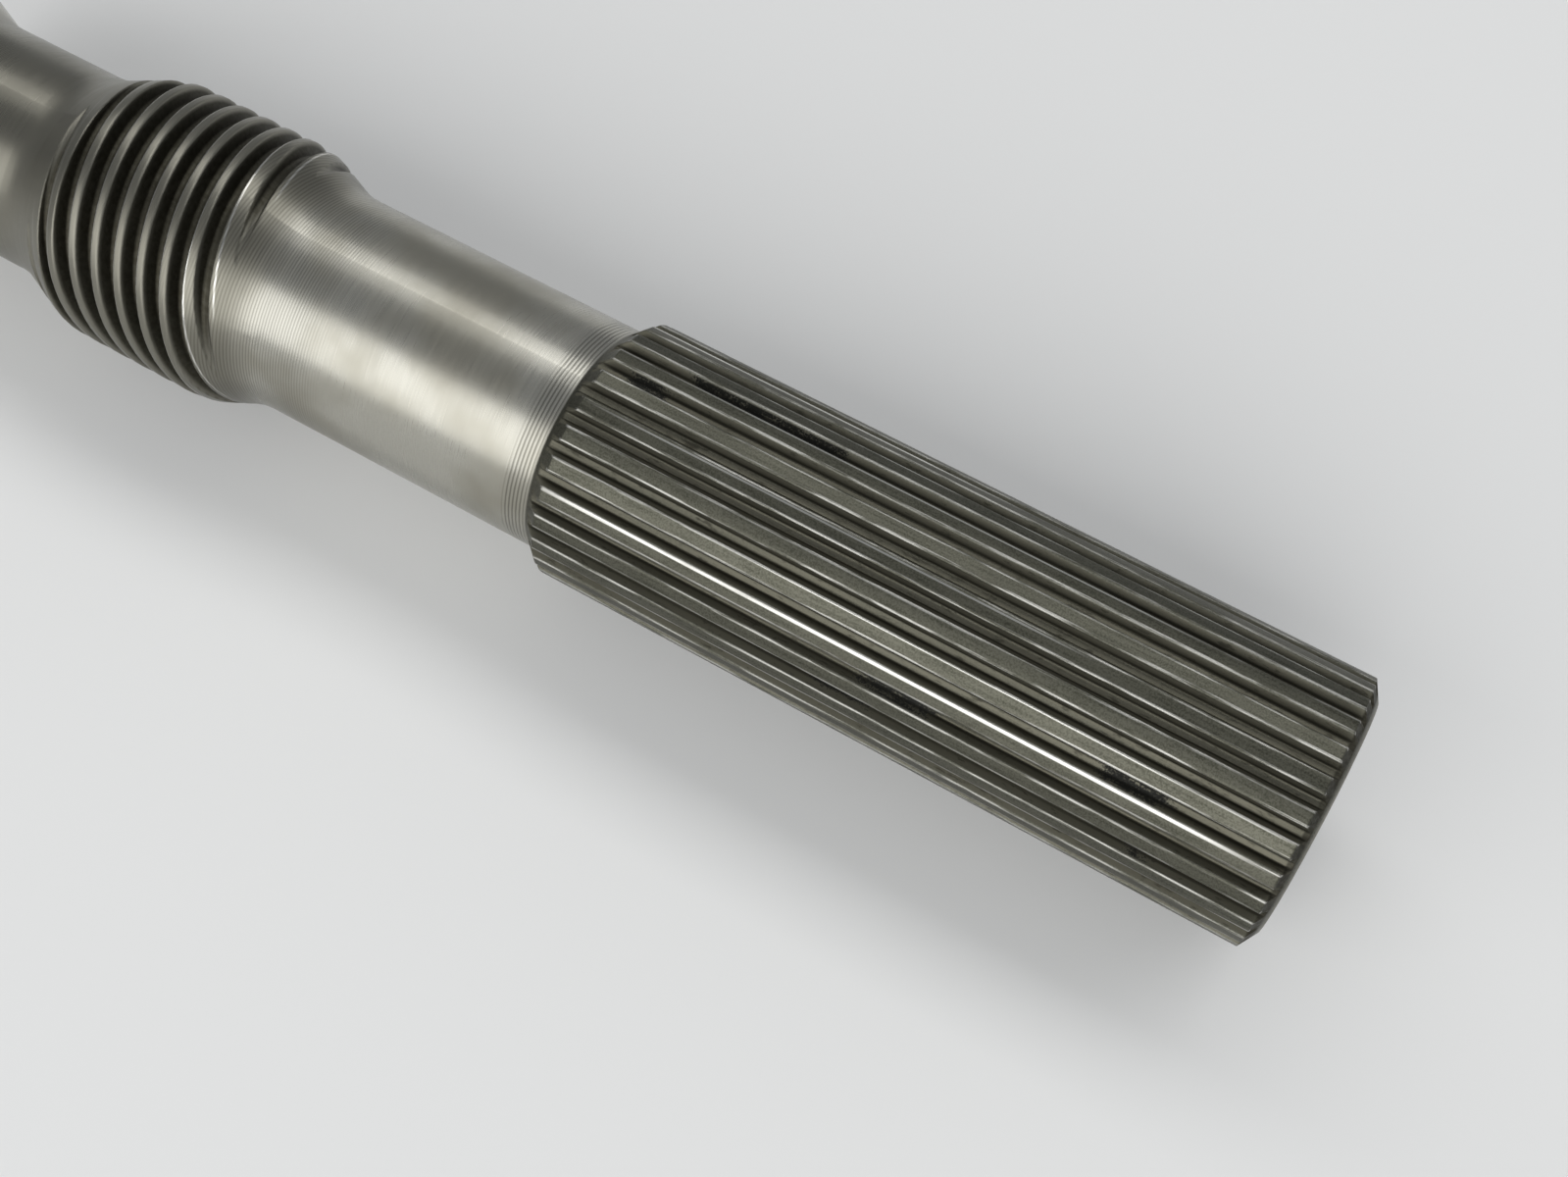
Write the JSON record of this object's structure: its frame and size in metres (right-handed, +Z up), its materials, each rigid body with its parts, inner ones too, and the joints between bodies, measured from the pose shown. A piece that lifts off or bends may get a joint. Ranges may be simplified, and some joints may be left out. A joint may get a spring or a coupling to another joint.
{
  "type": "splined shaft",
  "caption": "Turned steel output shaft end: a long straight-splined length, a plain waist, an integral multi-start worm and the start of a larger journal.",
  "frame": {"origin": "centre of the splined end's flat face, on the shaft's axis", "axes": "+X along the shaft's axis, out of the splined end; +Z up as the shaft lies, with the middle of one spline space straight down at -Z; +Y completes the right-handed frame"},
  "size_m": [0.194, 0.035, 0.035],
  "materials": {
    "splined_shaft": "turned and ground steel, bright on the lands and the waist, with dark heat-treatment scale left in the spline spaces"
  },
  "bodies": {
    "root": {"splined_shaft": "splined_shaft"}
  },
  "joints": []
}
